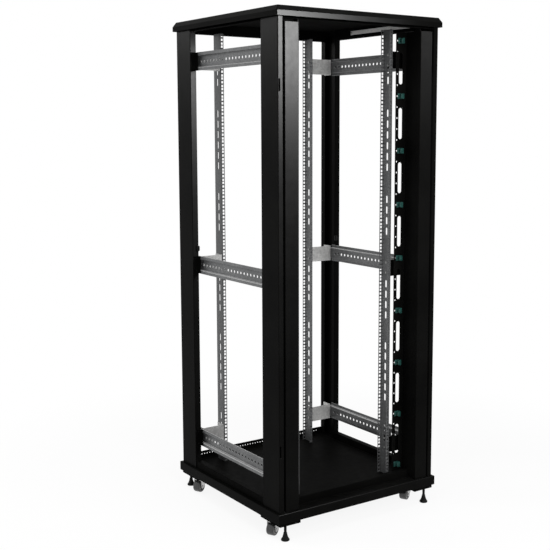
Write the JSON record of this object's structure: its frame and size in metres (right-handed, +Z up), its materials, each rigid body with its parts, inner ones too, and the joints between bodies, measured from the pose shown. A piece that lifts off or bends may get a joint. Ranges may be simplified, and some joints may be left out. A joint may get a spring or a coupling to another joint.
{
  "type": "four post open frame rack",
  "caption": "Tall black four post rack frame, open on all sides, with zinc square hole mounting rails, cable panels, levelling feet and swivel casters.",
  "frame": {"origin": "middle of the rack on the floor", "axes": "+X to the right, +Y to the back, +Z up"},
  "size_m": [0.806, 0.806, 2.035],
  "materials": {
    "black_paint": "satin powder coat",
    "zinc_rail": "zinc plated",
    "zinc_bracket": "zinc plated",
    "vent_metal": "perforated zinc",
    "teal_plastic": "moulded",
    "foot_plastic": "black",
    "caster_steel": "zinc plated",
    "caster_tyre": "matt"
  },
  "bodies": {
    "frame": {"base_beam_front": "black_paint", "base_beam_left": "black_paint", "base_beam_rear": "black_paint", "base_beam_right": "black_paint", "cable_clips_left": "teal_plastic", "cable_clips_right": "teal_plastic", "cable_panel_left": "black_paint", "cable_panel_right": "black_paint", "caster_pins": "caster_steel", "corner_plates": "black_paint", "depth_rail_ends_left": "black_paint", "depth_rail_ends_right": "black_paint", "depth_rails_left": "zinc_rail", "depth_rails_right": "zinc_rail", "floor_pan": "black_paint", "front_rail_brackets_left": "black_paint", "front_rail_brackets_right": "black_paint", "front_sill": "black_paint", "mounting_rail_front_left": "zinc_rail", "mounting_rail_front_right": "zinc_rail", "mounting_rail_rear_left": "zinc_rail", "mounting_rail_rear_right": "zinc_rail", "post_front_left": "black_paint", "post_front_right": "black_paint", "post_rear_left": "black_paint", "post_rear_right": "black_paint", "rear_rail_brackets_left": "zinc_bracket", "rear_rail_brackets_right": "zinc_bracket", "rear_sill": "black_paint", "roof_beam_front": "black_paint", "roof_beam_left": "black_paint", "roof_beam_rear": "black_paint", "roof_beam_right": "black_paint", "roof_cover": "black_paint", "roof_vent_strip_left": "vent_metal", "roof_vent_strip_right": "vent_metal", "side_sill_left": "black_paint", "side_sill_right": "black_paint", "slotted_plate_left": "black_paint", "slotted_plate_right": "black_paint"},
    "caster_front_left": {"caster_fork_front_left": "caster_steel"},
    "wheel_front_left": {"caster_wheel_front_left": "caster_tyre"},
    "foot_front_left": {"levelling_foot_front_left": "foot_plastic"},
    "caster_front_right": {"caster_fork_front_right": "caster_steel"},
    "wheel_front_right": {"caster_wheel_front_right": "caster_tyre"},
    "foot_front_right": {"levelling_foot_front_right": "foot_plastic"},
    "caster_rear_left": {"caster_fork_rear_left": "caster_steel"},
    "wheel_rear_left": {"caster_wheel_rear_left": "caster_tyre"},
    "foot_rear_left": {"levelling_foot_rear_left": "foot_plastic"},
    "caster_rear_right": {"caster_fork_rear_right": "caster_steel"},
    "wheel_rear_right": {"caster_wheel_rear_right": "caster_tyre"},
    "foot_rear_right": {"levelling_foot_rear_right": "foot_plastic"}
  },
  "joints": [
    {"name": "caster_swivel_front_left", "type": "hinge", "parent": "frame", "child": "caster_front_left", "pos_m": [-0.34, -0.296, 0.057], "axis": [0, 0, 1], "continuous": true},
    {"name": "wheel_spin_front_left", "type": "hinge", "parent": "caster_front_left", "child": "wheel_front_left", "pos_m": [-0.37208, -0.31234, 0.0285], "axis": [0.454, -0.891, 0], "continuous": true},
    {"name": "foot_screw_front_left", "type": "slide", "parent": "frame", "child": "foot_front_left", "axis": [0, 0, 1], "range_m": [0, 0.012]},
    {"name": "caster_swivel_front_right", "type": "hinge", "parent": "frame", "child": "caster_front_right", "pos_m": [0.34, -0.296, 0.057], "axis": [0, 0, 1], "continuous": true},
    {"name": "wheel_spin_front_right", "type": "hinge", "parent": "caster_front_right", "child": "wheel_front_right", "pos_m": [0.30792, -0.31234, 0.0285], "axis": [0.454, -0.891, 0], "continuous": true},
    {"name": "foot_screw_front_right", "type": "slide", "parent": "frame", "child": "foot_front_right", "axis": [0, 0, 1], "range_m": [0, 0.012]},
    {"name": "caster_swivel_rear_left", "type": "hinge", "parent": "frame", "child": "caster_rear_left", "pos_m": [-0.34, 0.296, 0.057], "axis": [0, 0, 1], "continuous": true},
    {"name": "wheel_spin_rear_left", "type": "hinge", "parent": "caster_rear_left", "child": "wheel_rear_left", "pos_m": [-0.37208, 0.27966, 0.0285], "axis": [0.454, -0.891, 0], "continuous": true},
    {"name": "foot_screw_rear_left", "type": "slide", "parent": "frame", "child": "foot_rear_left", "axis": [0, 0, 1], "range_m": [0, 0.012]},
    {"name": "caster_swivel_rear_right", "type": "hinge", "parent": "frame", "child": "caster_rear_right", "pos_m": [0.34, 0.296, 0.057], "axis": [0, 0, 1], "continuous": true},
    {"name": "wheel_spin_rear_right", "type": "hinge", "parent": "caster_rear_right", "child": "wheel_rear_right", "pos_m": [0.30792, 0.27966, 0.0285], "axis": [0.454, -0.891, 0], "continuous": true},
    {"name": "foot_screw_rear_right", "type": "slide", "parent": "frame", "child": "foot_rear_right", "axis": [0, 0, 1], "range_m": [0, 0.012]}
  ]
}
